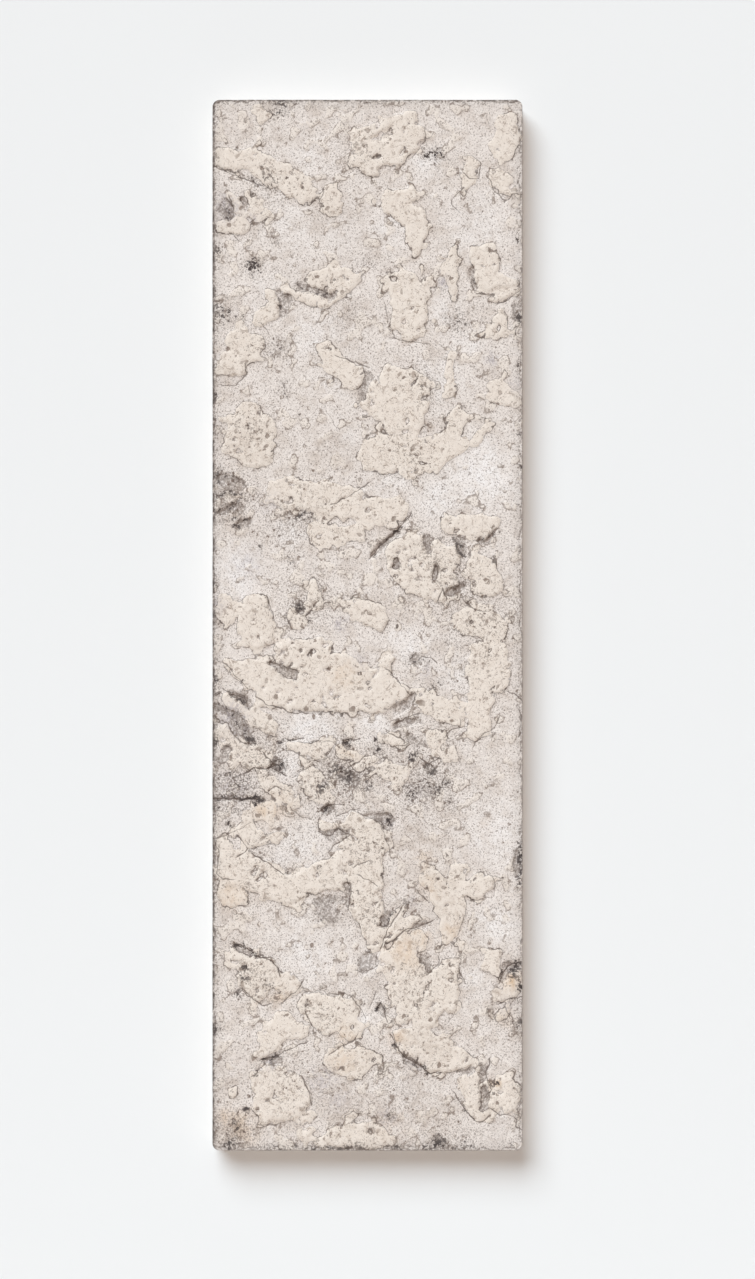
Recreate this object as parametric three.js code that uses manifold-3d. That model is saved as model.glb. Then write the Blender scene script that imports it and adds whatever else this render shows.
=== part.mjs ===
// Ceramic wall panel: a tall slab with thin torn flakes on its face, sunk hollows and two hanger sockets.
// Millimetres, +Z up, the face towards -Y. The origin is the middle of the flat back.
import * as THREE from 'three';
import { mergeVertices } from 'three/addons/utils/BufferGeometryUtils.js';
import Module from 'manifold-3d';

const wasm = await Module();
wasm.setup();

// Slab
const WIDTH = 310;
const HEIGHT = 1050;
const SLAB_DEPTH = 32;
const CORNER_RADIUS = 7;
const CORNER_STEPS = 3;
const ARRIS = 2;
const ARRIS_STEPS = 1;

// Hand-cut edges: how far they wander inwards, and how often the line changes
const EDGE_WANDER = 0.8;
const EDGE_STEP = 30;

// How far the flakes stand proud of the slab's face
const THIN = 1.4;
const MIDDLE = 2.2;
const THICK = 3;

// How far the hollows go below the slab's face
const SHALLOW = 1.6;
const DEEP = 4;

// Hanger sockets in the back, blind, with a flat ceiling that bears on a wall hook
const SOCKET_WIDTH = 44;
const SOCKET_HEIGHT = 20;
const SOCKET_DEPTH = 15;
const SOCKET_CORNER = 4;
const SOCKET_SPACING = 180;
const SOCKET_DROP = 80;

// Torn outlines: how ragged, how many steps round a blunt end and round a fine one, and how often
// a long side turns
const RAGGED = 0.15;
const BLUNT_END = 7;
const BLUNT_STEPS = 4;
const FINE_STEPS = 3;
const SIDE_STEP = 14;

// Flakes start this far inside the slab, hollows this far in front of it, and flakes stop short of the arris
const ROOT = 3;
const CLEAR = 6;
const MARGIN = 0.6;

// The carving is sketched on a panel of this size and stretched with the real one
const SKETCH_WIDTH = 310;
const SKETCH_HEIGHT = 1050;

// Each flake is its lift and its strokes. A stroke runs from x, z to x, z with a radius at each end
const TOP_FLAKES = [
  [THIN, [-108, 515, 5, -103, 507, 5]],
  [MIDDLE, [-144, 468, 10, -112, 462, 12], [-112, 461, 12, -62, 433, 13]],
  [THIN, [-37, 426, 11, -35, 419, 11]],
  [THIN, [-117, 427, 4, -104, 413, 9]],
  [MIDDLE, [-136, 430, 3, -128, 411, 6], [-128, 409, 6, -125, 400, 8], [-147, 397, 6, -126, 397, 8]],
  [THICK, [40, 500, 14, 42, 488, 16], [36, 477, 13, 0, 466, 15], [-8, 482, 9, 4, 460, 11],
    [-8, 488, 6, 26, 506, 4]],
  [THIN, [140, 498, 12, 137, 477, 13]],
  [THIN, [104, 456, 8, 97, 440, 5]],
  [MIDDLE, [130, 447, 8, 140, 438, 11]],
  [THICK, [22, 421, 10, 48, 407, 13], [48, 400, 12, 50, 372, 5], [20, 430, 6, 42, 430, 8]],
];
const UPPER_FLAKES = [
  [MIDDLE, [-97, 330, 6, -90, 320, 8], [-90, 316, 9, -108, 306, 8]],
  [MIDDLE, [-80, 335, 3, -58, 325, 5], [-58, 325, 5, -48, 319, 2]],
  [MIDDLE, [-52, 344, 10, -22, 345, 13], [-20, 338, 8, -42, 324, 4]],
  [MIDDLE, [-128, 284, 15, -120, 276, 17], [-138, 262, 12, -130, 256, 9]],
  [THIN, [-41, 272, 9, -34, 266, 10], [-34, 262, 10, -10, 247, 12]],
  [THICK, [38, 336, 18, 43, 314, 20], [42, 305, 18, 42, 294, 11], [59, 342, 4, 55, 357, 2]],
  [THIN, [85, 376, 4, 84, 345, 6], [84, 345, 6, 86, 324, 2]],
  [THICK, [117, 368, 14, 118, 350, 13], [118, 344, 8, 146, 342, 5]],
  [MIDDLE, [133, 327, 5, 151, 336, 2]],
  [THIN, [133, 306, 7, 131, 296, 8], [126, 292, 5, 118, 288, 2]],
  [MIDDLE, [-118, 212, 13, -110, 196, 19], [-125, 182, 20, -112, 174, 19], [-148, 205, 2, -126, 205, 5]],
  [MIDDLE, [28, 245, 16, 45, 238, 18], [12, 226, 17, 44, 214, 18], [30, 203, 13, -2, 222, 6]],
  [THIN, [83, 272, 3, 82, 233, 4]],
  [THIN, [92, 208, 9, 84, 190, 9]],
  [THIN, [10, 170, 20, 60, 172, 18], [60, 172, 18, 86, 180, 11]],
  [THIN, [106, 184, 6, 122, 200, 5]],
  [THIN, [130, 238, 9, 145, 225, 8]],
];
const MIDDLE_FLAKES = [
  [MIDDLE, [-90, 134, 13, -60, 130, 15], [-60, 130, 15, -20, 122, 16]],
  [THIN, [0, 110, 14, 28, 116, 12]],
  [THIN, [-50, 92, 12, -10, 90, 8]],
  [THICK, [36, 68, 21, 70, 63, 24], [52, 42, 16, 78, 40, 15]],
  [MIDDLE, [78, 101, 7, 120, 99, 12]],
  [MIDDLE, [114, 56, 16, 118, 42, 17]],
  [MIDDLE, [-54, 42, 3, -52, 28, 7], [-52, 26, 7, -60, 14, 4]],
  [THICK, [-112, 18, 15, -112, -4, 19]],
  [THIN, [-142, 22, 8, -138, 8, 8]],
  [THIN, [-73, 12, 7, -68, 3, 8]],
  [MIDDLE, [-14, 18, 9, 8, 8, 13]],
  [THIN, [100, 5, 14, 125, 0, 16]],
  [THICK, [-142, -37, 3, -122, -46, 12], [-120, -46, 14, -90, -60, 22], [-92, -62, 22, -20, -58, 28],
    [-20, -58, 28, 12, -66, 20], [14, -70, 18, 36, -66, 6], [-84, -24, 10, -50, -28, 14],
    [14, -48, 8, 24, -34, 3]],
  [MIDDLE, [-140, -72, 6, -118, -88, 10], [-118, -88, 10, -96, -102, 8]],
  [MIDDLE, [-145, -106, 8, -130, -126, 16], [-130, -126, 16, -104, -134, 9]],
  [THIN, [-78, -121, 4, -55, -125, 7], [-55, -124, 8, -36, -119, 5]],
  [THIN, [-22, -128, 9, -10, -138, 9], [-56, -152, 12, -40, -172, 9], [8, -138, 9, 34, -150, 10]],
  [THIN, [-98, -158, 9, -72, -176, 8], [-120, -190, 5, -100, -186, 8]],
  [THIN, [55, -72, 10, 72, -84, 12], [72, -84, 12, 90, -90, 9]],
  [MIDDLE, [112, -28, 12, 114, -62, 14], [114, -62, 14, 110, -104, 12], [132, -28, 9, 132, -58, 10]],
  [MIDDLE, [14, -113, 4, 33, -117, 6]],
  [THIN, [68, -112, 9, 80, -130, 11]],
];
const LOWER_FLAKES = [
  [MIDDLE, [-44, -199, 4, -38, -205, 5]],
  [THICK, [-12, -196, 10, 2, -214, 20], [2, -214, 20, -8, -238, 24], [-8, -240, 24, -48, -252, 13]],
  [THICK, [-48, -252, 13, -74, -262, 10], [-4, -262, 18, 4, -296, 13], [4, -296, 13, 6, -318, 9]],
  [MIDDLE, [-124, -206, 7, -112, -214, 10]],
  [THICK, [-142, -222, 8, -132, -242, 16], [-132, -242, 18, -100, -256, 17], [-100, -256, 17, -72, -266, 12]],
  [THIN, [-96, -213, 6, -91, -215, 6]],
  [THIN, [-138, -268, 12, -130, -271, 10]],
  [MIDDLE, [116, -258, 11, 108, -262, 12]],
  [THIN, [92, -244, 7, 84, -300, 11], [84, -300, 11, 86, -314, 6]],
  [THIN, [62, -252, 9, 78, -280, 12]],
  [THICK, [-132, -332, 9, -102, -343, 11], [-118, -352, 12, -110, -366, 9], [-96, -352, 10, -78, -360, 11]],
  [MIDDLE, [-55, -380, 13, -28, -386, 17], [-28, -388, 17, -18, -400, 14], [-50, -392, 10, -40, -402, 8]],
  [MIDDLE, [-85, -394, 9, -98, -412, 13], [-98, -414, 13, -103, -426, 6], [-80, -402, 10, -66, -404, 8]],
  [THICK, [24, -336, 14, 44, -352, 20], [44, -352, 22, 66, -362, 20], [80, -346, 10, 80, -376, 11],
    [62, -380, 14, 56, -396, 10], [30, -368, 10, 40, -388, 10]],
  [MIDDLE, [9, -321, 3, 35, -281, 5]],
  [MIDDLE, [22, -313, 2, 44, -297, 4]],
  [THIN, [38, -326, 14, 54, -314, 9]],
  [THIN, [125, -331, 9, 128, -342, 8]],
  [MIDDLE, [143, -366, 8, 136, -370, 7]],
  [MIDDLE, [129, -391, 3, 140, -381, 4]],
];
const FOOT_FLAKES = [
  [THICK, [34, -410, 9, 52, -420, 18], [52, -420, 20, 78, -432, 15], [78, -432, 15, 98, -434, 9]],
  [MIDDLE, [104, -458, 11, 108, -478, 12], [108, -478, 12, 113, -490, 6]],
  [MIDDLE, [138, -462, 13, 142, -478, 11], [130, -476, 8, 128, -480, 4]],
  [THICK, [-98, -456, 17, -78, -468, 22], [-78, -466, 20, -66, -468, 10], [-104, -478, 14, -100, -488, 11],
    [-90, -484, 14, -80, -486, 10]],
  [THIN, [-134, -462, 4, -133, -469, 4]],
  [THIN, [-70, -493, 6, -54, -490, 5]],
  [MIDDLE, [-67, -506, 4, -62, -520, 3], [-55, -503, 4, -63, -510, 3]],
  [MIDDLE, [-42, -518, 7, -12, -508, 13], [-12, -508, 13, 12, -512, 11]],
  [THIN, [-32, -434, 12, -12, -440, 12], [-12, -440, 12, 4, -432, 8]],
];
const FLAKES = [...TOP_FLAKES, ...UPPER_FLAKES, ...MIDDLE_FLAKES, ...LOWER_FLAKES, ...FOOT_FLAKES];

// Hollows, as the flakes: how deep, then the strokes
const HOLLOWS = [
  [SHALLOW, [-141, 418, 9, -140, 413, 9]],
  [DEEP, [-127, 424, 3, -121, 417, 3]],
  [DEEP, [-90, 334, 3, -80, 325, 5], [-80, 325, 5, -84, 312, 4]],
  [SHALLOW, [-68, 339, 3, -50, 331, 3], [-50, 331, 3, -34, 329, 2]],
  [DEEP, [104, 358, 2, 107, 336, 3]],
  [SHALLOW, [3, 250, 4, -6, 228, 3]],
  [SHALLOW, [148, 316, 5, 151, 307, 4]],
  [DEEP, [-144, 147, 6, -132, 138, 9], [-146, 113, 3, -125, 118, 3], [-130, 100, 3, -118, 103, 3]],
  [DEEP, [4, 70, 3, 27, 91, 4]],
  [SHALLOW, [92, 85, 5, 97, 70, 3]],
  [DEEP, [112, 85, 3, 118, 83, 3], [118, 83, 3, 129, 95, 2]],
  [SHALLOW, [67, 56, 3, 67, 46, 3]],
  [SHALLOW, [28, 66, 3, 28, 58, 3]],
  [SHALLOW, [62, 87, 4, 62, 74, 4]],
  [DEEP, [80, 31, 2, 94, 39, 4]],
  [SHALLOW, [-67, 20, 5, -64, 14, 4]],
  [SHALLOW, [-95, -38, 2, -84, -45, 6], [-84, -45, 6, -74, -50, 6]],
  [DEEP, [-133, -69, 2, -119, -80, 4]],
  [SHALLOW, [-148, -82, 5, -132, -92, 6], [-132, -95, 8, -122, -108, 5], [-120, -108, 4, -113, -119, 3]],
  [SHALLOW, [-141, -122, 3, -144, -134, 4]],
  [DEEP, [-90, -137, 5, -85, -143, 5]],
  [DEEP, [46, -33, 4, 48, -38, 3]],
  [DEEP, [45, -72, 4, 31, -85, 4]],
  [DEEP, [29, -99, 4, 50, -96, 3]],
  [DEEP, [42, -112, 3, 49, -121, 3]],
  [SHALLOW, [54, -112, 2, 58, -122, 3]],
  [DEEP, [-20, -116, 3, -19, -121, 3]],
  [DEEP, [59, -138, 3, 64, -144, 5]],
  [DEEP, [-25, -150, 5, -14, -156, 6]],
  [SHALLOW, [-153, -173, 2, -104, -174, 2]],
  [DEEP, [-46, -187, 2, -36, -183, 4]],
  [SHALLOW, [-40, -211, 4, -29, -206, 4], [-28, -208, 4, -19, -210, 2]],
  [DEEP, [0, -189, 2, 16, -193, 5], [18, -193, 6, 18, -203, 3]],
  [SHALLOW, [-20, -258, 3, -19, -278, 3], [-50, -276, 4, -28, -273, 4], [-45, -285, 7, -32, -290, 8]],
  [DEEP, [151, -226, 3, 151, -250, 3]],
  [DEEP, [-131, -320, 3, -115, -328, 3]],
  [SHALLOW, [26, -284, 2, 15, -296, 4]],
  [DEEP, [48, -304, 2, 58, -299, 3]],
  [SHALLOW, [58, -334, 7, 62, -343, 4]],
  [SHALLOW, [-3, -338, 7, 3, -335, 8]],
  [DEEP, [13, -380, 4, 18, -391, 2]],
  [DEEP, [151, -341, 4, 141, -340, 3], [141, -340, 3, 136, -351, 3]],
  [DEEP, [38, -431, 3, 54, -443, 2]],
  [SHALLOW, [94, -446, 3, 104, -444, 3]],
  [DEEP, [-103, -435, 2, -88, -434, 3]],
  [SHALLOW, [116, -442, 3, 114, -456, 4], [117, -464, 3, 116, -482, 4]],
  [SHALLOW, [72, -514, 3, 77, -520, 4]],
];

// Seeded numbers from -1 to 1, the same in every run
function seededNumbers(seed) {
  let state = seed;
  return () => {
    state = (state * 1664525 + 1013904223) % 4294967296;
    return state / 2147483648 - 1;
  };
}

// From the sketch to the panel's own size
function fromSketch(x, z) {
  return new THREE.Vector2((x * WIDTH) / SKETCH_WIDTH, (z * HEIGHT) / SKETCH_HEIGHT);
}

// A closed geometry as a solid that can be joined and cut
function asSolid(geometry) {
  geometry.deleteAttribute('normal');
  geometry.deleteAttribute('uv');
  const merged = mergeVertices(geometry);
  const vertProperties = new Float32Array(merged.attributes.position.array);
  const triVerts = new Uint32Array(merged.index.array);
  return new wasm.Manifold(new wasm.Mesh({ numProp: 3, vertProperties, triVerts }));
}

// An outline in width and height, made solid between two depths measured from the back towards the face
function extruded(points, from, to) {
  const shape = new THREE.Shape(points);
  const geometry = new THREE.ExtrudeGeometry(shape, { depth: to - from, bevelEnabled: false });
  geometry.translate(0, 0, from);
  geometry.rotateX(Math.PI / 2);
  return asSolid(geometry);
}

// The slab's outline, drawn inwards by inset, with round corners and sides that wander a little
function slabOutline(inset) {
  const points = [];
  const wander = seededNumbers(7);
  const halfWidth = WIDTH / 2 - inset;
  const halfHeight = HEIGHT / 2 - inset;
  const radius = CORNER_RADIUS - inset;
  const corners = [[1, 1], [-1, 1], [-1, -1], [1, -1]];
  corners.forEach(([sideX, sideZ], corner) => {
    const centre = new THREE.Vector2(sideX * (halfWidth - radius), sideZ * (halfHeight - radius));
    for (let step = 0; step <= CORNER_STEPS; step += 1) {
      const angle = (corner + step / CORNER_STEPS) * (Math.PI / 2);
      points.push(new THREE.Vector2(radius, 0).rotateAround(new THREE.Vector2(), angle).add(centre));
    }
    const start = points[points.length - 1];
    const [nextX, nextZ] = corners[(corner + 1) % corners.length];
    const along = new THREE.Vector2(nextX - sideX, nextZ - sideZ).normalize();
    const run = Math.abs(along.x) > 0.5 ? WIDTH : HEIGHT;
    const length = run - 2 * CORNER_RADIUS;
    const steps = Math.round(length / EDGE_STEP);
    const inwards = new THREE.Vector2(-along.y, along.x);
    for (let step = 1; step < steps; step += 1) {
      const point = start.clone().addScaledVector(along, (length * step) / steps);
      points.push(point.addScaledVector(inwards, (EDGE_WANDER * (1 + wander())) / 2));
    }
  });
  return points;
}

// The slab with its softened arris, from the flat back to the face
function slab() {
  const geometry = new THREE.ExtrudeGeometry(new THREE.Shape(slabOutline(ARRIS)), {
    depth: SLAB_DEPTH - 2 * ARRIS,
    bevelThickness: ARRIS,
    bevelSize: ARRIS,
    bevelSegments: ARRIS_STEPS,
  });
  geometry.translate(0, 0, ARRIS);
  geometry.rotateX(Math.PI / 2);
  return asSolid(geometry);
}

// The torn outline of one stroke, anticlockwise round its far end and back round its near end
function strokeOutline([x0, z0, r0, x1, z1, r1], torn) {
  const near = new THREE.Vector2(x0, z0);
  const far = new THREE.Vector2(x1, z1);
  const along = far.clone().sub(near);
  const heading = along.angle();
  const sideSteps = Math.max(1, Math.round(along.length() / SIDE_STEP));
  const endSteps = Math.max(r0, r1) > BLUNT_END ? BLUNT_STEPS : FINE_STEPS;
  const points = [];
  const push = (share, angle) => {
    const radius = THREE.MathUtils.lerp(r0, r1, share) * (1 + RAGGED * torn());
    const out = new THREE.Vector2(radius, 0).rotateAround(new THREE.Vector2(), heading + angle);
    const point = near.clone().addScaledVector(along, share).add(out);
    points.push(fromSketch(point.x, point.y));
  };
  [1, 0].forEach((end) => {
    const first = end === 1 ? -Math.PI / 2 : Math.PI / 2;
    for (let step = 0; step <= endSteps; step += 1) {
      push(end, first + (Math.PI * step) / endSteps);
    }
    for (let step = 1; step < sideSteps; step += 1) {
      push(Math.abs(end - step / sideSteps), first + Math.PI);
    }
  });
  return points;
}

// All the strokes of a list, joined, each between the two depths that its own value gives
function carving(list, depths) {
  let joined = null;
  list.forEach(([value, ...strokes], index) => {
    const torn = seededNumbers(index + 1);
    const [from, to] = depths(value);
    strokes.forEach((stroke) => {
      const solid = extruded(strokeOutline(stroke, torn), from, to);
      joined = joined ? joined.add(solid) : solid;
    });
  });
  return joined;
}

// The two hanger sockets, side by side near the top of the back
function sockets() {
  const ceiling = HEIGHT / 2 - SOCKET_DROP;
  const reach = SOCKET_WIDTH / 2;
  const floor = ceiling - SOCKET_HEIGHT;
  const solids = [-1, 1].map((side) => {
    const middle = (side * SOCKET_SPACING) / 2;
    const outline = new THREE.Shape();
    outline.moveTo(middle - reach, ceiling);
    outline.lineTo(middle - reach, floor + SOCKET_CORNER);
    outline.lineTo(middle - reach + SOCKET_CORNER, floor);
    outline.lineTo(middle + reach - SOCKET_CORNER, floor);
    outline.lineTo(middle + reach, floor + SOCKET_CORNER);
    outline.lineTo(middle + reach, ceiling);
    return extruded(outline.getPoints(), -CLEAR, SOCKET_DEPTH);
  });
  return solids[0].add(solids[1]);
}

// The panel: slab and flakes are one fired piece
function panelGeometry() {
  const proud = (lift) => [SLAB_DEPTH - ROOT, SLAB_DEPTH + lift];
  const sunk = (depth) => [SLAB_DEPTH - depth, SLAB_DEPTH + CLEAR];
  const face = extruded(slabOutline(ARRIS + MARGIN), 0, SLAB_DEPTH + CLEAR);
  const flakes = carving(FLAKES, proud).intersect(face);
  const hollows = carving(HOLLOWS, sunk);
  const solid = slab().add(flakes).subtract(hollows).subtract(sockets());
  const { vertProperties, triVerts } = solid.getMesh();
  const geometry = new THREE.BufferGeometry();
  geometry.setAttribute('position', new THREE.BufferAttribute(vertProperties, 3));
  geometry.setIndex(new THREE.BufferAttribute(triVerts, 1));
  geometry.computeVertexNormals();
  return geometry;
}

const firedClay = new THREE.MeshStandardMaterial({ color: 0xe2dcd2, roughness: 0.92, metalness: 0 });
const panel = new THREE.Mesh(panelGeometry(), firedClay);
panel.name = 'panel';

const wallPanel = new THREE.Group();
wallPanel.add(panel);

export default wallPanel;
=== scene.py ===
"""Looks of the ceramic wall panel: one fired slab whose slip has flaked, cracked and stained in the kiln."""
import math
import random

import bmesh
import bpy
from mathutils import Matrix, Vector, kdtree, noise
from mathutils.bvhtree import BVHTree


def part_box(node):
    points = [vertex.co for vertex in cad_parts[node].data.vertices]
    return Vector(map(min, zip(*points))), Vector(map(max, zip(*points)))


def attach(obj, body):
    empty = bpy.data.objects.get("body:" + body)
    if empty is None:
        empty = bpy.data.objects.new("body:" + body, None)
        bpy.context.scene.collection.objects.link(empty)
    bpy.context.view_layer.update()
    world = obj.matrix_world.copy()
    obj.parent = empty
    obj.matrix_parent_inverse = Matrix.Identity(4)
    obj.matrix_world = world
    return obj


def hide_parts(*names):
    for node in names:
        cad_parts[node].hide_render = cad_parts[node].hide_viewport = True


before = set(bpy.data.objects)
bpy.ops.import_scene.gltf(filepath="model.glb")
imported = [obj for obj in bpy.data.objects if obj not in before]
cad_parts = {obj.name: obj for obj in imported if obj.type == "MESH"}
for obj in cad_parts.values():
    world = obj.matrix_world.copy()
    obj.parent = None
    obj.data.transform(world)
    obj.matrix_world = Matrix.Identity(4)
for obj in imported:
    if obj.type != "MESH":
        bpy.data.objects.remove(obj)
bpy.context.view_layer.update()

# Sizes, from the frame. The face looks along -Y, and everything below is worked in millimetres
MM = 0.001
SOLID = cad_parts["panel"]
LOW, HIGH = (Vector(corner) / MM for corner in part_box("panel"))
HALF_WIDTH = (HIGH.x - LOW.x) / 2
HALF_HEIGHT = (HIGH.z - LOW.z) / 2
PROUDEST = -LOW.y
SOCKET_FLOOR = (0.3 * PROUDEST, 0.6 * PROUDEST)

# Slab edges. The worn grey at the edge is painted further in at the left and less far at the top, right and
# bottom: partly the edge's own wear, partly painted light and shade offsetting the lit and shaded arris
CORNER_RADIUS = 7.0
ARRIS = 0.6
CHIP_DEPTH = 1.0
EDGE_WANDER = 0.45
WANDER_BAND = 6.0
SIDE_DENT = 0.45
SIDE_BAND = 3.0
WEAR_AND_LIGHT_LEFT = 0.6
WEAR_AND_LIGHT_TOP = -0.7
WEAR_AND_LIGHT_RIGHT = -2.3
WEAR_AND_LIGHT_BOTTOM = -2.3

# Mesh of the face: wide cells inside, narrow ones along the edges, and rows down the sides
CELL = 1.93
EDGE_CELLS = (0.7, 0.9, 1.2)
SIDE_ROWS = 5

# Relief, in millimetres, with the solid's lifts and hollows made shallower
LIFT_SHARE = 0.58
SINK_SHARE = 0.52
FLAKE_LIFT = 0.6
FLAKE_PROBE = -0.7
HOLLOW_PROBE = 0.8
FACING = -0.95
STEEP = 0.2
HEADROOM = 0.03
TAP = 0.55
SCRAP_LIFT = 1.1
SCALE_LIFT = 0.6
SWELL = 0.30
RIM_GROOVE = 0.08
RIM_GROOVE_GAIN = 0.24
RIM_LIP = 0.08
CRACK_DEPTH = 1.0
CRACK_WIDTH = 0.95
PIT_DEPTH = 0.65
PIT_REACH = 3.0
PIT_COUNT = 5200
HOLLOW_GRIT = 0.25
FAR = 30.0

# Where windows, scraps and scales begin in their noise, and how steeply it is read as a distance
WINDOW_BAR = 0.56
SCRAP_BAR = 0.02
SCALE_BAR = 0.28
EDGE_SLOPE = 6.0
SCRAP_SLOPE = 7.0

# How often a tried pore stays, bare and where the face is speckled
PITS_ON_FLAKES = (0.42, 1.0)
PITS_ON_GROUND = (0.03, 0.35)

# Noises, each as its share, size and layer
WINDOW_WAVES = ((1.0, 8.5, 2), (0.5, 4.3, 3))
SCALE_WAVES = ((1.0, 13, 4), (0.55, 6, 5))
FLAKE_WAVES = ((0.10, 16, 7), (0.04, 6, 8))
GROUND_WAVES = ((0.08, 6, 9), (0.10, 11, 10))
CHIP_WAVES = ((1.0, 9, 21), (0.5, 3.5, 22))

# Noise that bends lines along the face, each as a size, a layer and, where it is fixed, an amount
WALL_BENDS = ((17.0, 3.7, 3.4), (8.0, 8.8, 2.6), (4.0, 13.9, 1.1))
PORE_BEND = (4.2, 6.3, 1.5)
CRACK_BEND = (7.0, 0.9, 1.8)
CRACK_KINK = (4.5, 2.9, 1.2)
MARK_TEAR = (7.0, 0.9)
DENSITY_TEAR = (9.0, 0.5)

# One seed for all the noise and another for the scattered pores, so that every run gives the same panel
NOISE_SEED = 5
PORE_SEED = 11
noise.seed_set(NOISE_SEED)

# Materials of the panel, by their index
SLIP, BARE_CLAY = 0, 1


def linear(*srgb):
    """A colour given in sRGB steps of 0 to 255, as Blender's linear RGBA."""
    shares = (c / 255 for c in srgb)
    return tuple(s / 12.92 if s <= 0.04045 else ((s + 0.055) / 1.055) ** 2.4 for s in shares) + (1.0,)


# Colours as they should look in the even light on the face
GROUND_PALE = linear(242, 232, 225)
GROUND_GREY = linear(164, 152, 147)
GROUND_BROWN = linear(214, 200, 189)
WHITE_BLOOM = linear(255, 250, 248)
CREAM = linear(239, 227, 216)
CREAM_DEEP = linear(220, 204, 190)
CURL_BROWN = linear(160, 142, 129)
PIT_BROWN = linear(138, 121, 110)
SPECK_BROWN = linear(118, 103, 94)
CRACK_DARK = linear(92, 79, 72)
# The hollow greys carry painted shade for the recesses; the darker one also tints the char smoke
HOLLOW_GREY = linear(196, 186, 179)
HOLLOW_DARK = linear(120, 109, 105)
CHARCOAL = linear(72, 64, 62)
VIOLET_GREY = linear(166, 158, 166)
OCHRE = linear(216, 188, 160)
UMBER = linear(166, 146, 130)
EDGE_GREY = linear(100, 91, 87)
SIDE_CLAY = linear(200, 188, 177)
BACK_CLAY = linear(206, 197, 187)
BACK_SCORCH = linear(187, 177, 168)
WALL_WHITE = linear(240, 240, 240)
FLOOR_PALE = linear(212, 211, 209)

# Kiln marks read from the face, as x, z, radius and strength
CHARS = (
    (-86, 517, 12, 0.9), (-114, 358, 10, 1.5), (-90, 384, 5, 0.9), (68, 471, 9, 1.8), (58, 467, 5, 1.4),
    (90, 457, 2.5, 1), (72, 458, 2.5, 1), (147, 490, 3, 0.9), (-143, 312, 13, 1.1), (-125, 308, 7, 0.9),
    (0, 362, 9, 0.8), (90, 303, 12, 1.1), (-86, 276, 12, 0.9), (-84, 236, 9, 1.1), (-67, 208, 5, 0.9),
    (-20, 308, 18, 0.5), (-98, 445, 12, 0.5), (20, 350, 8, 0.5), (-40, 340, 9, 0.4), (-110, 395, 14, 0.4),
    (-62, 110, 7, 0.9), (-79, 64, 5, 1.2), (-72, 62, 4, 0.9), (-107, 77, 4, 0.9), (124, 266, 4, 0.5),
    (-150, 372, 7, 0.9), (-152, 330, 6, 0.8), (152, 385, 4, 0.9), (152, 307, 6, 1.1), (151, 260, 4, 0.9),
    (152, 190, 4, 1), (152, 157, 4, 1.1), (151, 120, 3, 0.8), (-153, 230, 5, 0.9), (-153, 110, 6, 0.9),
    (-138, 114, 9, 0.2), (-128, 101, 7, 0.3), (-153, 40, 5, 0.8), (-67, 17, 6, 1.1), (-57, 5, 4, 0.9),
    (-20, 60, 6, 0.5), (45, -34, 6, 0.9), (60, -38, 5, 0.9), (63, -63, 6, 1), (72, -58, 5, 0.9),
    (90, -20, 3, 1.2), (78, -17, 4, 0.9), (-151, -55, 5, 1.1), (-151, -118, 6, 0.9), (-88, -141, 7, 1.1),
    (-19, -117, 5, 1.4), (9, -114, 4, 1.2), (9, -125, 6, 1.1), (16, -118, 4, 1), (47, -133, 5, 1),
    (63, -143, 6, 1), (-18, -152, 11, 0.8), (-32, -146, 7, 0.7), (0, -160, 6, 0.7), (45, -168, 10, 0.8),
    (57, -162, 8, 0.7), (78, -156, 6, 1), (83, -177, 6, 0.9), (68, -166, 6, 0.8), (-46, -163, 8, 0.7),
    (-130, -160, 16, 0.5), (-110, -178, 4, 1.4), (-138, -198, 3, 1.6), (-70, -204, 3, 1),
    (18, -197, 7, 1.2), (-40, -185, 4, 1.1), (-80, -245, 4, 0.9), (-48, -245, 6, 0.8), (152, -235, 5, 1.5),
    (152, -250, 5, 1.5), (150, -258, 4, 1.2), (67, -253, 2, 1.3), (38, -278, 6, 0.7), (-126, -321, 5, 1.3),
    (-118, -326, 4, 1.2), (-125, -341, 4, 1.1), (-123, -353, 4, 1.2), (-88, -367, 3, 1.2),
    (-96, -357, 4, 0.9), (-129, -367, 4, 1.4), (-152, -403, 6, 1), (-4, -378, 3, 1.2), (14, -381, 4, 1.6),
    (147, -343, 6, 1.5), (140, -340, 5, 1.2), (153, -362, 5, 1.3), (146, -373, 4, 1.2), (152, -400, 4, 1),
    (127, -458, 3, 1.5), (-112, -445, 3, 1.2), (-122, -481, 3, 1.4), (-52, -474, 2, 1.2),
    (-132, -500, 6, 1), (-138, -519, 7, 1), (-130, -516, 5, 0.8), (-70, -521, 5, 0.9), (-54, -521, 4, 0.9),
    (-10, -519, 5, 0.8), (68, -518, 9, 1), (78, -517, 5, 0.8), (100, -517, 5, 0.9), (144, -519, 4, 1),
    (22, -490, 5, 1), (-100, -434, 6, 0.9),
)
VIOLETS = (
    (-140, 417, 12, 1), (-115, 407, 6, 0.7), (75, 342, 6, 0.9), (148, 240, 6, 0.8), (-27, 0, 7, 0.8),
    (-136, -90, 12, 1.1), (-126, -106, 8, 0.9), (-150, 20, 9, 0.5), (-135, -165, 16, 0.6),
    (45, -277, 7, 0.45), (-38, -283, 12, 0.35), (-45, -455, 14, 0.6), (-30, -474, 10, 0.5),
    (18, -490, 10, 0.6), (58, -45, 7, 0.7), (-8, -35, 7, 0.6), (-100, 120, 12, 0.5), (125, 266, 6, 0.7),
    (-34, -213, 6, 0.4), (20, -196, 8, 0.5), (-120, 60, 14, 0.5), (48, -440, 8, 0.6), (-96, -436, 8, 0.7),
    (140, -380, 8, 0.5), (50, -165, 14, 0.3),
)
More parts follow.
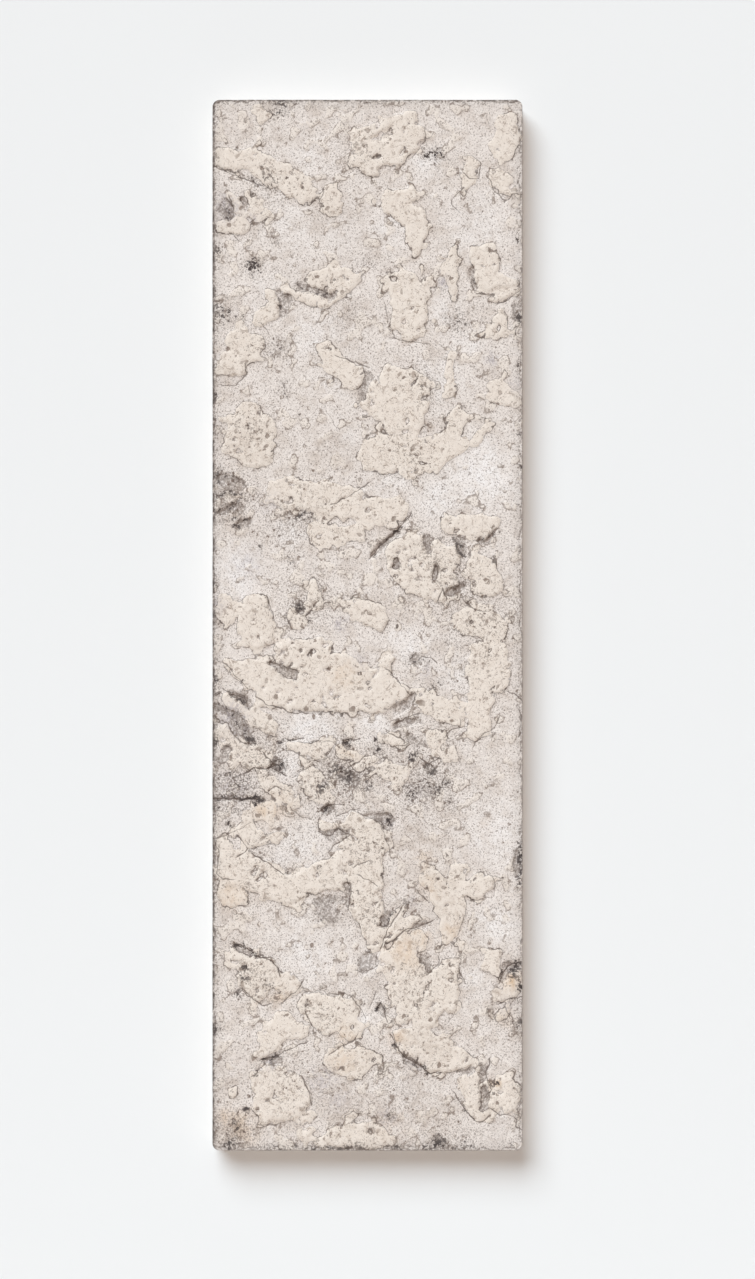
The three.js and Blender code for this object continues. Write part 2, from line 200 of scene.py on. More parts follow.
OCHRES = (
    (-136, -272, 13, 0.6), (40, -326, 16, 0.7), (54, -312, 9, 0.7), (84, -308, 10, 0.6),
    (146, -355, 8, 1.4), (30, -412, 8, 0.8), (-88, -371, 8, 0.6), (-22, -411, 9, 0.6),
    (-128, -500, 14, 0.8), (-140, -492, 10, 0.7), (-92, -186, 16, 0.5), (62, -262, 10, 0.6),
    (127, -457, 5, 1.2), (-22, -50, 12, 0.5), (-128, 134, 8, 0.6), (-20, -127, 10, 0.4),
    (118, -198, 7, 0.4), (56, -232, 10, 0.4), (140, -392, 9, 0.5), (-25, -436, 12, 0.5),
    (-106, -183, 7, 0.7), (20, -498, 12, 0.4), (-120, -510, 12, 0.5),
)
UMBERS = (
    (60, 200, 4, 0.8), (150, 157, 3, 0.9), (-138, 247, 9, 0.5), (-20, 308, 14, 0.3), (20, 350, 6, 0.4),
    (-30, 175, 18, 0.45), (-80, -48, 10, 0.5), (-62, 110, 12, 0.5), (118, -192, 7, 0.4),
    (132, -260, 9, 0.35), (130, -372, 9, 0.6), (10, -492, 14, 0.5), (-136, -508, 14, 0.6),
    (15, -194, 12, 0.4), (-30, -292, 14, 0.5), (117, -476, 8, 0.5), (116, -446, 7, 0.4),
    (55, -482, 36, 0.6), (-20, -480, 30, 0.5), (62, -418, 26, 0.35), (-140, 140, 12, 0.8),
    (-132, 112, 10, 0.7), (-118, 92, 12, 0.4), (-20, 400, 24, 0.3), (-118, 178, 20, 0.3),
    (70, -290, 14, 0.35), (50, -215, 22, 0.35), (-145, -435, 9, 0.5), (-142, -290, 12, 0.4),
    (75, -455, 14, 0.3), (-2, -360, 9, 0.5), (8, -430, 10, 0.3), (-60, -87, 8, 0.5), (128, -502, 18, 0.5),
    (-128, -450, 18, 0.4), (-78, -502, 18, 0.35), (75, -275, 26, 0.3),
)
BLOOMS = (
    (115, 150, 32, 1), (70, 128, 20, 0.9), (110, 400, 28, 0.6), (-75, 395, 26, 0.5), (-60, 470, 20, 0.4),
    (-50, 290, 22, 0.6), (-130, 60, 20, 0.9), (-125, 36, 14, 0.8), (78, 318, 14, 0.6), (100, 280, 14, 0.6),
    (-55, -102, 26, 0.9), (10, -100, 14, 0.8), (-70, -222, 24, 0.6), (-78, -140, 12, 0.8),
    (130, -205, 30, 0.7), (130, -300, 18, 0.7), (106, -355, 14, 0.5), (-60, -325, 26, 0.7),
    (45, -20, 16, 0.7), (90, -50, 18, 0.6), (-6, -395, 12, 0.6), (40, -465, 20, 0.4), (132, -505, 16, 0.5),
    (-90, 430, 12, 0.5), (30, -12, 14, 0.5), (60, 460, 12, 0.8), (-143, 142, 7, 1.3), (-130, 121, 4, 1),
    (3, -336, 9, 0.8), (-30, 395, 20, 0.5), (130, 360, 10, 0.3), (-100, 330, 20, 0.5), (-20, 190, 12, 0.4),
    (75, 248, 22, 0.6), (-25, 252, 22, 0.6), (25, 150, 20, 0.5), (-75, 92, 14, 0.5), (25, 400, 22, 0.5),
)
SPECKLES = (
    (-30, -150, 40, 1), (55, -160, 40, 0.9), (-110, -130, 34, 0.9), (-130, -165, 26, 1),
    (20, -140, 24, 0.8), (90, 40, 40, 0.8), (65, 65, 26, 0.9), (50, 240, 26, 0.6), (-118, 195, 24, 0.8),
    (-118, 282, 18, 0.6), (115, 5, 30, 0.8), (120, -50, 30, 0.5), (75, -110, 20, 0.6), (-5, -225, 26, 0.7),
    (-110, -240, 30, 0.6), (0, -290, 20, 0.8), (-110, -352, 24, 0.9), (50, -365, 34, 0.7),
    (-40, -390, 26, 0.7), (-80, -460, 30, 0.7), (-10, 470, 26, 0.6), (-95, 445, 28, 0.5), (145, 0, 60, 0.4),
    (-130, 130, 24, 0.9), (-80, 100, 26, 0.8), (-130, -505, 24, 0.9), (20, -455, 24, 0.5),
    (70, -425, 26, 0.5), (108, -470, 16, 0.6), (-60, 125, 24, 0.6), (142, -400, 16, 0.9),
    (-60, 20, 30, 0.7), (0, -515, 60, 0.4), (86, -512, 26, 0.6), (40, 170, 30, 0.6),
)

# Dark drawn-out streaks, as two ends, a radius and a strength
STREAKS = (
    (-152, 128, -138, 133, 2.2, 0.9), (-138, 133, -122, 126, 1.8, 0.7), (-150, 115, -136, 120, 2.4, 0.9),
    (-136, 120, -118, 128, 1.8, 0.6), (-145, 103, -128, 108, 2.2, 0.8), (-134, 98, -120, 104, 2, 1),
    (-152, 142, -140, 150, 2.2, 0.7), (-140, 150, -128, 143, 1.8, 0.6), (-153, 150, -146, 158, 2.2, 0.8),
    (-72, 108, -58, 112, 2.5, 1), (-70, 102, -56, 108, 2, 0.7), (-50, 118, -38, 124, 1.5, 1),
    (30, 92, 42, 108, 2, 1.2), (8, 73, 20, 84, 2.5, 1.1), (88, 85, 98, 66, 2.5, 0.9),
    (113, 84, 130, 94, 2, 0.8), (-148, -80, -132, -92, 3, 0.9), (-132, -92, -124, -108, 3, 1),
    (-124, -108, -112, -120, 2.5, 1), (-136, -68, -124, -76, 2.5, 1), (-88, -117, -68, -113, 2, 0.9),
    (42, -42, 56, -33, 2.5, 1), (-154, -173, -104, -174, 1.6, 1.2), (-154, -182, -120, -186, 3, 0.6),
    (-150, -150, -120, -152, 3, 0.7), (-62, -288, -40, -300, 3, 0.7), (-12, -268, -22, -258, 2, 0.8),
    (18, -300, 34, -280, 2, 0.9), (152, -216, 153, -252, 2.5, 1.5), (151, -340, 137, -342, 2.5, 1.4),
    (137, -342, 133, -354, 2, 1.2), (-60, -521, -20, -523, 2, 0.7), (20, -522, 110, -522, 2, 0.6),
    (-110, -521, -80, -523, 2, 0.6), (24, -412, 40, -433, 2, 0.9), (40, -433, 60, -447, 2, 0.9),
    (88, -470, 104, -492, 1.8, 0.8), (-131, -320, -112, -328, 2.5, 1.1), (-105, -434, -84, -428, 2.2, 1),
    (10, -372, 14, -384, 2.5, 1.2), (-115, 445, -100, 436, 1.8, 0.8), (-146, 420, -138, 405, 2.5, 0.9),
    (60, 262, 64, 215, 1.5, 0.5), (-92, 327, -82, 312, 2, 0.8), (-68, 338, -40, 328, 1.8, 0.8),
    (104, 352, 108, 332, 2, 0.7),
)

# The kinds of marks, each with how far the noise tears it
MARKS = {
    "char": (CHARS + STREAKS, 5.5), "violet": (VIOLETS, 5.0), "ochre": (OCHRES, 5.0),
    "umber": (UMBERS, 5.0), "bloom": (BLOOMS, 7.0), "speckle": (SPECKLES, 6.0),
}

# The strongest cracks, as a strength and then x, z, x, z and so on
CRACKS = (
    (0.9, -150, 457, -130, 448, -118, 445, -108, 440), (0.8, -138, 428, -133, 415, -136, 407),
    (0.7, -45, 433, -48, 420, -44, 412), (0.6, 57, 495, 57, 483, 45, 467),
    (0.8, 98, 450, 103, 446, 111, 446, 113, 455), (0.7, 93, 433, 86, 427, 84, 420, 90, 414),
    (0.8, 122, 445, 128, 432, 138, 424, 145, 430, 154, 431), (0.7, -136, 392, -128, 385),
    (0.7, -105, 300, -99, 293), (0.6, 17, 322, 22, 300, 26, 290), (0.7, 25, 286, 58, 281),
    (0.7, 132, 321, 145, 328, 154, 335), (0.8, -121, 260, -120, 252, -131, 239, -145, 240),
    (0.8, -30, 268, 0, 258), (0.9, 0, 141, -10, 135, -22, 127, -34, 121), (0.7, -60, 40, -55, 48, -46, 40),
    (0.7, -50, 22, -60, 10), (0.7, -100, 25, -92, 5), (0.7, -20, 30, 3, 24),
    (0.8, 98, 23, 105, 17, 115, 14), (0.5, -43, 217, -33, 200), (0.9, 70, 25, 75, 37, 78, 28),
    (0.9, 3, 68, 14, 80, 30, 94, 42, 110), (0.8, -148, -36, -140, -40, -132, -50, -121, -62),
    (0.9, -110, -72, -100, -80, -88, -82, -76, -87, -62, -88), (0.7, -98, -33, -95, -38, -86, -42),
    (0.9, -142, -64, -135, -69, -124, -71, -119, -82),
    (0.8, -155, -97, -145, -96, -140, -98, -134, -108, -127, -116, -118, -119),
    (0.9, -105, -126, -101, -131, -93, -140, -88, -139),
    (1, -121, -147, -114, -143, -104, -144, -97, -141, -90, -146, -84, -149),
    (0.9, -80, -115, -74, -116, -66, -113), (0.6, -56, -117, -46, -115, -38, -116, -31, -120),
    (0.7, -88, -122, -70, -128, -62, -133, -51, -136), (0.7, -70, -149, -62, -144, -54, -140),
    (0.9, -21, -117, -14, -115, -9, -114), (0.9, -18, -141, -8, -137, -3, -131),
    (0.8, 20, -45, 28, -53, 36, -62, 43, -70), (0.9, 58, -32, 64, -33, 67, -36),
    (0.8, 30, -98, 42, -92, 52, -89), (0.8, 22, -108, 34, -113, 40, -119, 31, -121),
    (0.8, 92, -97, 93, -103, 85, -104, 79, -110), (0.7, 106, -120, 116, -108, 126, -103, 130, -95),
    (0.9, 143, -68, 150, -70, 154, -75), (0.7, 151, -85, 154, -98, 152, -110),
    (0.9, 55, -134, 62, -139, 70, -134), (1, -154, -173, -130, -174, -104, -175),
    (0.8, -97, -164, -92, -161, -81, -166), (0.9, -47, -186, -36, -179, -26, -179),
    (0.8, -29, -191, -19, -185, -9, -184), (0.9, -49, -195, -48, -207, -40, -211, -34, -208, -30, -203),
    (0.9, -30, -203, -17, -210, -29, -217, -37, -225),
    (0.7, -8, -188, 4, -193, 13, -199, 17, -210, 22, -225), (0.7, -75, -183, -66, -191, -58, -193),
    (0.9, -128, -213, -119, -224, -127, -230), (1, -114, -229, -106, -234, -98, -238, -86, -248),
    (0.6, -152, -213, -133, -206, -120, -199),
    (0.8, -151, -218, -148, -228, -150, -248, -145, -253, -136, -253), (0.8, -10, -240, 0, -236),
    (0.8, -8, -250, 3, -256, 8, -260), (0.8, -19, -256, -16, -262, -17, -275, -19, -284),
    (0.7, 105, -275, 125, -272, 128, -262, 125, -252), (0.9, 52, -268, 54, -271, 59, -274),
    (1, -131, -320, -120, -323, -114, -329, -98, -334, -90, -341, -88, -348),
    (0.8, -66, -357, -72, -366, -85, -377),
    (0.9, -130, -367, -124, -365, -115, -373, -105, -380, -99, -379),
    (0.6, -60, -367, -46, -365, -34, -369), (0.8, -34, -369, -22, -368, -8, -380, -3, -391),
    (0.9, -61, -388, -57, -398), (0.8, -12, -411, -16, -417, -27, -421, -37, -428),
    (0.9, -105, -434, -97, -432, -86, -428, -76, -422, -62, -417), (0.9, 14, -320, 22, -302, 36, -280),
    (0.9, 22, -317, 40, -304, 57, -299, 66, -295), (0.7, -10, -345, -5, -347, 8, -342, 10, -331),
    (0.8, 71, -333, 70, -340, 62, -347), (0.9, 92, -345, 94, -352, 97, -356),
    (0.6, 91, -378, 87, -388, 81, -395), (0.8, 8, -368, 4, -378), (0.8, 17, -384, 19, -394),
    (1, 150, -338, 140, -340, 137, -348, 133, -356), (0.9, 134, -377, 142, -373, 151, -372),
    (0.8, 138, -382, 145, -396), (1, 24, -411, 29, -419, 38, -432, 48, -437, 56, -444, 63, -448, 74, -447),
    (0.6, 74, -447, 90, -446, 98, -442),
    (0.9, 87, -468, 94, -479, 102, -489, 108, -495, 116, -496, 121, -491),
    (0.9, 122, -434, 118, -448, 121, -458, 124, -464, 119, -471),
    (0.9, 126, -484, 132, -489, 142, -490, 149, -494, 149, -501, 153, -505),
    (0.9, -63, -455, -58, -468, -56, -477), (0.8, -115, -450, -104, -440), (0.7, -108, -499, -92, -499),
)

# What the mesh tells its material at each point, with the value on the sides and the back
FIELDS = {
    "cover": -6.0, "scale": -3.0, "hollow": -6.0, "crack": FAR, "cracked": 0.0, "pit": -3.0, "inset": -5.0,
    "wear_and_light_offset": 0.0, "char": 0.0, "violet": 0.0, "ochre": 0.0, "umber": 0.0, "bloom": 0.0, "speckle": 0.6,
}


def smooth(value, low, high):
    """0 below low, 1 above high, with a soft step between."""
    share = min(1.0, max(0.0, (value - low) / (high - low)))
    return share * share * (3 - 2 * share)


def bell(distance, width):
    """1 in the middle, and soon 0 beyond that width on either side."""
    return math.exp(-((distance / width) ** 2))


def wave(x, z, size, layer):
    """Seeded noise from -1 to 1 with features of about that size."""
    return noise.noise(Vector((x / size, layer * 7.31, z / size)))


def waves(x, z, parts):
    """Several such noises added up."""
    return sum(share * wave(x, z, size, layer) for share, size, layer in parts)


def swirled(x, z, size, layer, amount):
    """The place moved along the face by noise, up to about that amount."""
    shift = noise.noise_vector(Vector((x / size, layer, z / size)))
    return x + amount * shift.x, z + amount * shift.z


def run_distance(place, start, along):
    """How far a place is from the straight run that starts there and goes along that vector."""
    share = (place - start).dot(along) / max(along.length_squared, 1e-6)
    return (place - start - along * min(1.0, max(0.0, share))).length


def kd_tree(points):
    """Those points in a tree that finds the ones near a place."""
    tree = kdtree.KDTree(len(points))
    for index, point in enumerate(points):
        tree.insert(point, index)
    tree.balance()
    return tree


class CadFace:
    """The solid's face: how deep it is at a place, and how far the carving's walls are."""

    def __init__(self, mesh):
        corners = [vertex.co / MM for vertex in mesh.vertices]
        faces = [tuple(polygon.vertices) for polygon in mesh.polygons]
        self.solid = BVHTree.FromPolygons(corners, faces)
        areas = {}
        for polygon in mesh.polygons:
            if polygon.normal.y < FACING:
                level = round(corners[polygon.vertices[0]].y, 1)
                areas[level] = areas.get(level, 0.0) + polygon.area
        self.ground = max(areas, key=areas.get)
        flake_walls, hollow_walls = [], []
        for polygon, face in zip(mesh.polygons, faces):
            depths = [corners[index].y - self.ground for index in face]
            if abs(polygon.normal.y) > STEEP or min(depths) > FLAKE_LIFT:
                continue
            if max(depths) > -0.4 and min(depths) < -FLAKE_LIFT:
                flake_walls.append(face)
            if max(depths) > FLAKE_LIFT:
                hollow_walls.append(face)
        self.flakes = BVHTree.FromPolygons(corners, flake_walls)
        self.hollows = BVHTree.FromPolygons(corners, hollow_walls)

    def lift(self, x, z):
        """How far the face stands proud of the slab there, below 0 in a hollow."""
        hit = self.solid.ray_cast(Vector((x, -2 * PROUDEST, z)), Vector((0, 1, 0)))[0]
        return self.ground - hit.y if hit and hit.y < self.ground / 2 else 0.0

    def reach(self, walls, x, z, offset):
        """Distance along the face to the nearest of those walls."""
        distance = walls.find_nearest(Vector((x, self.ground + offset, z)), FAR)[3]
        return FAR if distance is None else distance

    def flake_edge(self, x, z, lift):
        """Signed distance to the edge of the flakes, above 0 on a flake."""
        return self.reach(self.flakes, x, z, FLAKE_PROBE) * (1 if lift > FLAKE_LIFT else -1)

    def hollow_edge(self, x, z, lift):
        """Signed distance to the edge of the hollows, above 0 in a hollow."""
        return self.reach(self.hollows, x, z, HOLLOW_PROBE) * (1 if lift < -FLAKE_LIFT else -1)


class Marks:
    """Soft marks with torn outlines, round or drawn out. The strongest one at a place counts."""

    def __init__(self, marks, torn):
        self.torn = torn
        self.marks = []
        for *ends, radius, strength in marks:
            start, end = Vector((ends[0], 0, ends[1])), Vector((ends[-2], 0, ends[-1]))
            self.marks.append((start, end - start, radius, strength))
        self.tree = kd_tree([start + along / 2 for start, along, _, _ in self.marks])
        self.widest = max(2.2 * radius + along.length / 2 for _, along, radius, _ in self.marks)

    def value(self, x, z, tear):
        """The strongest mark at a place, torn by the noise of that size and layer."""
        x, z = swirled(x, z, *tear, self.torn)
        place = Vector((x, 0, z))
        best = 0.0
        for _, index, _ in self.tree.find_range(place, self.widest):
            start, along, radius, strength = self.marks[index]
            best = max(best, strength * bell(run_distance(place, start, along), radius))
        return best


class CrackMap:
    """The cracks as short straight runs, looked up by place."""

    def __init__(self, cracks):
        self.runs = []
        for strength, *numbers in cracks:
            points = [Vector((x, 0, z)) for x, z in zip(numbers[::2], numbers[1::2])]
            self.runs += [(strength, a, b - a) for a, b in zip(points, points[1:])]
        self.tree = kd_tree([start + along / 2 for _, start, along in self.runs])
        self.longest = max(along.length for _, _, along in self.runs) / 2 + 5

    def at(self, x, z):
        """Signed distance across the nearest crack, and its strength, which fades past its ends."""
        place = Vector((x, 0, z))
        side, best, power = FAR, FAR, 0.0
        for _, index, _ in self.tree.find_range(place, self.longest):
            strength, start, along = self.runs[index]
            distance = run_distance(place, start, along)
            if distance < best:
                best = distance
                side = (along.x * (place.z - start.z) - along.z * (place.x - start.x)) / along.length
                power = strength * (1 - smooth(distance, 2.5, 4.5))
        return side, power


def outline_inset(x, z):
    """How far a place lies inside the slab's round-cornered outline."""
    across = abs(x) - (HALF_WIDTH - CORNER_RADIUS)
    along = abs(z) - (HALF_HEIGHT - CORNER_RADIUS)
    outside = math.hypot(max(across, 0.0), max(along, 0.0))
    return CORNER_RADIUS - outside - min(max(across, along), 0.0)


def line_places(half):
    """Places of the grid's lines across a side: even cells inside and narrow ones at both ends."""
    rim = [half]
    for cell in EDGE_CELLS:
        rim.append(rim[-1] - cell)
    inner = rim[-1]
    count = round(2 * inner / CELL)
    middle = [inner - 2 * inner * step / count for step in range(1, count)]
    return sorted(rim + middle + [-place for place in rim])


def corner_turned(x, z):
    """Bends the square corners of the grid onto the slab's round corners."""
    across = (abs(x) - (HALF_WIDTH - CORNER_RADIUS)) / CORNER_RADIUS
    along = (abs(z) - (HALF_HEIGHT - CORNER_RADIUS)) / CORNER_RADIUS
    if across <= 0 or along <= 0:
        return x, z
    round_x = across * math.sqrt(1 - along * along / 2) - across
    round_z = along * math.sqrt(1 - across * across / 2) - along
    return x + round_x * math.copysign(CORNER_RADIUS, x), z + round_z * math.copysign(CORNER_RADIUS, z)


def drawn_in(x, z, amount, band):
    """The place moved inwards by that amount, away from each side that is nearer than the band."""
    if abs(x) > HALF_WIDTH - band:
        x -= math.copysign(amount, x)
    if abs(z) > HALF_HEIGHT - band:
        z -= math.copysign(amount, z)
    return x, z


def edge_wandered(x, z):
    """Draws the places near the outline inwards a little, as a hand-cut edge wanders."""
    fade = 1 - smooth(outline_inset(x, z), 0.0, WANDER_BAND)
    slow = 0.5 + 0.5 * wave(x, z, 28, 31)
    quick = 0.5 + 0.5 * wave(x, z, 4.5, 32)
    return drawn_in(x, z, EDGE_WANDER * fade * (0.6 * slow + 0.4 * quick), CORNER_RADIUS)


def warped(x, z):
    """Where the carving's walls are looked up for a place, so that every edge comes out torn."""
    for bend in WALL_BENDS:
        x, z = swirled(x, z, *bend)
    return x, z


def scattered_pits(cad):
    """Short worm-like pores, thick where the face is speckled and on the flakes."""
    dice = random.Random(PORE_SEED)
    density = Marks(SPECKLES, 4.0)
    pits = []
    for _ in range(PIT_COUNT):
        x = dice.uniform(-HALF_WIDTH + 4, HALF_WIDTH - 4)
        z = dice.uniform(-HALF_HEIGHT + 4, HALF_HEIGHT - 4)
        bare, gain = PITS_ON_FLAKES if cad.lift(*warped(x, z)) > FLAKE_LIFT else PITS_ON_GROUND
        chance = bare + 0.5 * density.value(x, z, DENSITY_TEAR) * gain
        radius = dice.uniform(0.9, 1.3) + 1.5 * dice.random() ** 4
        length = dice.uniform(0.0, 5.0) * dice.random()
        angle = dice.uniform(0, math.pi)
        depth = dice.uniform(0.5, 1.0)
        if dice.random() <= chance * (0.4 + 0.4 * wave(x, z, 22, 5)):
            half = Vector((math.cos(angle), 0, math.sin(angle))) * length / 2
            pits.append((Vector((x, 0, z)), half, radius, depth))
    return pits


def pit_fields(places, pits):
    """For each place the signed distance into the nearest pore, and that pore's depth."""
    tree = kd_tree([Vector((x, 0, z)) for x, z in places])
    inside = [-PIT_REACH] * len(places)
    depth = [0.0] * len(places)
    for middle, half, radius, deep in pits:
        for place, index, _ in tree.find_range(middle, half.length + radius + PIT_REACH):
            value = radius - run_distance(place, middle - half, half * 2)
            if value > inside[index]:
                inside[index] = value
                depth[index] = deep
    return inside, depth


def slip_at(cad, x, z, bloom):
    """The slip's height at a place, and the signed distances into its flakes, thin scales and hollows."""
    look_x, look_z = warped(x, z)
    lift = cad.lift(look_x, look_z)
    around = ((TAP, 0), (-TAP, 0), (0, TAP), (0, -TAP))
    taps = sum(cad.lift(look_x + dx, look_z + dz) for dx, dz in around)
    cover = cad.flake_edge(look_x, look_z, lift)
    hollow = cad.hollow_edge(look_x, look_z, lift)

    # Windows are torn in the flakes, scraps of slip hang on their edges, and thin scales lie between them
    scale = waves(x, z, SCALE_WAVES) - 0.5 * min(1.0, bloom)
    if cover > 0:
        cover = min(cover, EDGE_SLOPE * (WINDOW_BAR - waves(x, z, WINDOW_WAVES)))
        share = smooth(cover, -0.6, 0.6)
        lift, taps = lift * share, taps * share
    elif hollow < 0:
        scrap = (scale - SCRAP_BAR) * SCRAP_SLOPE + 0.55 * max(cover, -20.0)
        cover = max(cover, scrap)
        lift = max(lift, SCRAP_LIFT * smooth(scrap, -0.6, 0.6))
        taps = max(taps, 4 * lift)
    scale = min((scale - SCALE_BAR) * EDGE_SLOPE, -cover, -hollow)
    height = (lift + taps) / 5
    height = height * (LIFT_SHARE if height > 0 else SINK_SHARE) + SCALE_LIFT * smooth(scale, -0.5, 0.5)
    return height, cover, scale, hollow


def edge_wear_and_light(x, z):
    """How much further in than elsewhere the worn grey is painted near each side of the face: edge wear, with
    painted light and shade that offset the lit left and the shaded right and bottom.
    """
    sides = ((-x - HALF_WIDTH, WEAR_AND_LIGHT_LEFT), (z - HALF_HEIGHT, WEAR_AND_LIGHT_TOP),
             (x - HALF_WIDTH, WEAR_AND_LIGHT_RIGHT), (-z - HALF_HEIGHT, WEAR_AND_LIGHT_BOTTOM))
    return sum(worn_and_light_band * smooth(outward, -8, -2) for outward, worn_and_light_band in sides)


def fine_relief(x, z, at, pit_depth):
    """What swells, grit, lifted rims, cracks, pores, chars and hollows add to the height of a place."""
    on_flake = smooth(at["cover"], -0.4, 0.8)
    height = SWELL * wave(x, z, 46, 6)
    height += on_flake * waves(x, z, FLAKE_WAVES) + (1 - on_flake) * waves(x, z, GROUND_WAVES)
    groove = RIM_GROOVE + RIM_GROOVE_GAIN * smooth(wave(x, z, 15, 12), -0.35, 0.5)
    height -= groove * bell(at["cover"] + 0.9, 0.9)
    height += RIM_LIP * bell(at["cover"] - 1.6, 1.2)
    height -= CRACK_DEPTH * at["cracked"] * bell(at["crack"], CRACK_WIDTH)
    height -= PIT_DEPTH * pit_depth * smooth(at["pit"], -0.6, 1.1)
    height -= min(1.0, at["char"]) * (0.3 + 0.5 * wave(x, z, 5.5, 13))
    height += smooth(at["hollow"], -0.5, 1.0) * HOLLOW_GRIT * wave(x, z, 5.5, 14)
    return height


def face_relief(places):
    """The depth of the slab's ground, and the relief and the fields at every place of the face."""
    cad = CadFace(SOLID.data)
    cracks = CrackMap(CRACKS)
    kinds = {name: Marks(*kind) for name, kind in MARKS.items()}
    bent = [swirled(x, z, *PORE_BEND) for x, z in places]
    rows = {name: [] for name in FIELDS}
    heights = []
    for (x, z), inside_pit, pit_depth in zip(places, *pit_fields(bent, scattered_pits(cad))):
        at = {name: kind.value(x, z, MARK_TEAR) for name, kind in kinds.items()}
        at["char"] *= 1 + 0.6 * wave(x, z, 6, 15)
        height, at["cover"], at["scale"], at["hollow"] = slip_at(cad, x, z, at["bloom"])
        crack_x, crack_z = swirled(x, z, *CRACK_BEND)
        kink_x, kink_z = swirled(x, z, *CRACK_KINK)
        at["crack"], at["cracked"] = cracks.at(crack_x + kink_x - x, crack_z + kink_z - z)
        at["pit"] = inside_pit
        at["inset"] = outline_inset(x, z)
        at["wear_and_light_offset"] = edge_wear_and_light(x, z)
        height += fine_relief(x, z, at, pit_depth)
        heights.append(min(height, PROUDEST + cad.ground - HEADROOM))
        for name, row in rows.items():
            row.append(at[name])
    return -cad.ground, heights, rows


def arris_drop(inset, x, z):
    """How far the face falls back towards the side near the outline, with chips along it."""
    radius = ARRIS + CHIP_DEPTH * smooth(waves(x, z, CHIP_WAVES), 0.28, 0.75)
    if inset >= radius:
        return 0.0
    return radius - math.sqrt(max(0.0, radius * radius - (radius - inset) ** 2))


def face_grid():
    """The face as a grid of cells with its places bent to the slab's outline, not yet in relief."""
    lines_x = line_places(HALF_WIDTH)
    lines_z = line_places(HALF_HEIGHT)
    body = bmesh.new()
    cells = {"x_segments": len(lines_x) - 1, "y_segments": len(lines_z) - 1}
    bmesh.ops.create_grid(body, **cells, size=0.5)
    places = []
    for vertex in body.verts:
        column = round((vertex.co.x + 0.5) * cells["x_segments"])
        row = round((vertex.co.y + 0.5) * cells["y_segments"])
        places.append(edge_wandered(*corner_turned(lines_x[column], lines_z[row])))
    return body, places


def socket_outlines():
    """The rims of the two hanger sockets, from the corners of their floors in the solid."""
    corners = [vertex.co / MM for vertex in SOLID.data.vertices]
    floors = [corner for corner in corners if SOCKET_FLOOR[0] < -corner.y < SOCKET_FLOOR[1]]
    rims = []
    for side in (-1, 1):
        unique = {(round(c.x, 2), round(c.z, 2)): c for c in floors if c.x * side > 0}
        middle = sum(unique.values(), Vector()) / len(unique)
        rims.append(sorted(unique.values(), key=lambda c: math.atan2(c.z - middle.z, c.x - middle.x)))
    return rims


def next_row(body, edges):
    """A row of faces added behind those edges: its own outer edges, their vertices, and the faces."""
    made = bmesh.ops.extrude_edge_only(body, edges=edges)["geom"]
    outer = [item for item in made if isinstance(item, bmesh.types.BMEdge) and item.is_boundary]
    faces = [item for item in made if isinstance(item, bmesh.types.BMFace)]
    return outer, {vertex for edge in outer for vertex in edge.verts}, faces


def cut_sides(body, ground):
    """The sides, in rows back from the face and dented as cut clay is. Gives the edges of the back."""
    rim = [edge for edge in body.edges if edge.is_boundary]
    for row in range(1, SIDE_ROWS + 1):
        rim, vertices, _ = next_row(body, rim)
        depth = (ground - ARRIS) * (1 - row / SIDE_ROWS)
        for vertex in vertices:
            x, z = vertex.co.x / MM, vertex.co.z / MM
            in_x, in_z, shift = x, z, 0.0
            if row < SIDE_ROWS:
                dent = SIDE_DENT * abs(wave(x + depth, z + depth, 4.0, 40 + row))
                in_x, in_z = drawn_in(x, z, dent, SIDE_BAND)
                shift = wave(x, z, 6.0, 50 + row)
            vertex.co = Vector((in_x, -(depth + shift), in_z)) * MM
    return rim


def close_back(body, rim):
    """The flat back closes the slab, with the two sockets sunk into it."""
    back_edges = list(rim)
    sockets = []
    for outline in socket_outlines():
        ring = [body.verts.new(Vector((corner.x, 0, corner.z)) * MM) for corner in outline]
        edges = [body.edges.new((a, b)) for a, b in zip(ring, ring[1:] + ring[:1])]
        sockets.append((edges, outline[0].y))
        back_edges += edges
    made = bmesh.ops.triangle_fill(body, use_beauty=True, edges=back_edges, normal=Vector((0, 1, 0)))["geom"]
    clay = [item for item in made if isinstance(item, bmesh.types.BMFace)]
    for edges, floor in sockets:
        inner, vertices, walls = next_row(body, edges)
        for vertex in vertices:
            vertex.co.y = floor * MM
        clay += walls + bmesh.ops.contextual_create(body, geom=inner)["faces"]
    for face in clay:
        face.material_index = BARE_CLAY


def placed(name, data):
    """A new object in the scene that shows that data."""
    thing = bpy.data.objects.new(name, data)
    bpy.context.scene.collection.objects.link(thing)
    return thing


def build_panel():
    """The whole panel as one closed mesh: face in relief, cut sides, flat back and hanger sockets."""
    body, places = face_grid()
    ground, heights, rows = face_relief(places)
    for vertex, (x, z), height, inset in zip(body.verts, places, heights, rows["inset"]):
        depth = ground + height * smooth(inset, 0.3, 1.8) - arris_drop(inset, x, z)
        vertex.co = Vector((x, -depth, z)) * MM
    rim = cut_sides(body, ground)
    for face in body.faces:
        face.material_index = SLIP
        face.smooth = True
    body.normal_update()
    close_back(body, rim)
    bmesh.ops.recalc_face_normals(body, faces=body.faces[:])

    mesh = bpy.data.meshes.new("panel_slab")
    body.to_mesh(mesh)
    body.free()
    beyond = len(mesh.vertices) - len(places)
    for name, side_value in FIELDS.items():
        layer = mesh.attributes.new(name, "FLOAT", "POINT")
        layer.data.foreach_set("value", rows[name] + [side_value] * beyond)
    return placed("panel_slab", mesh)


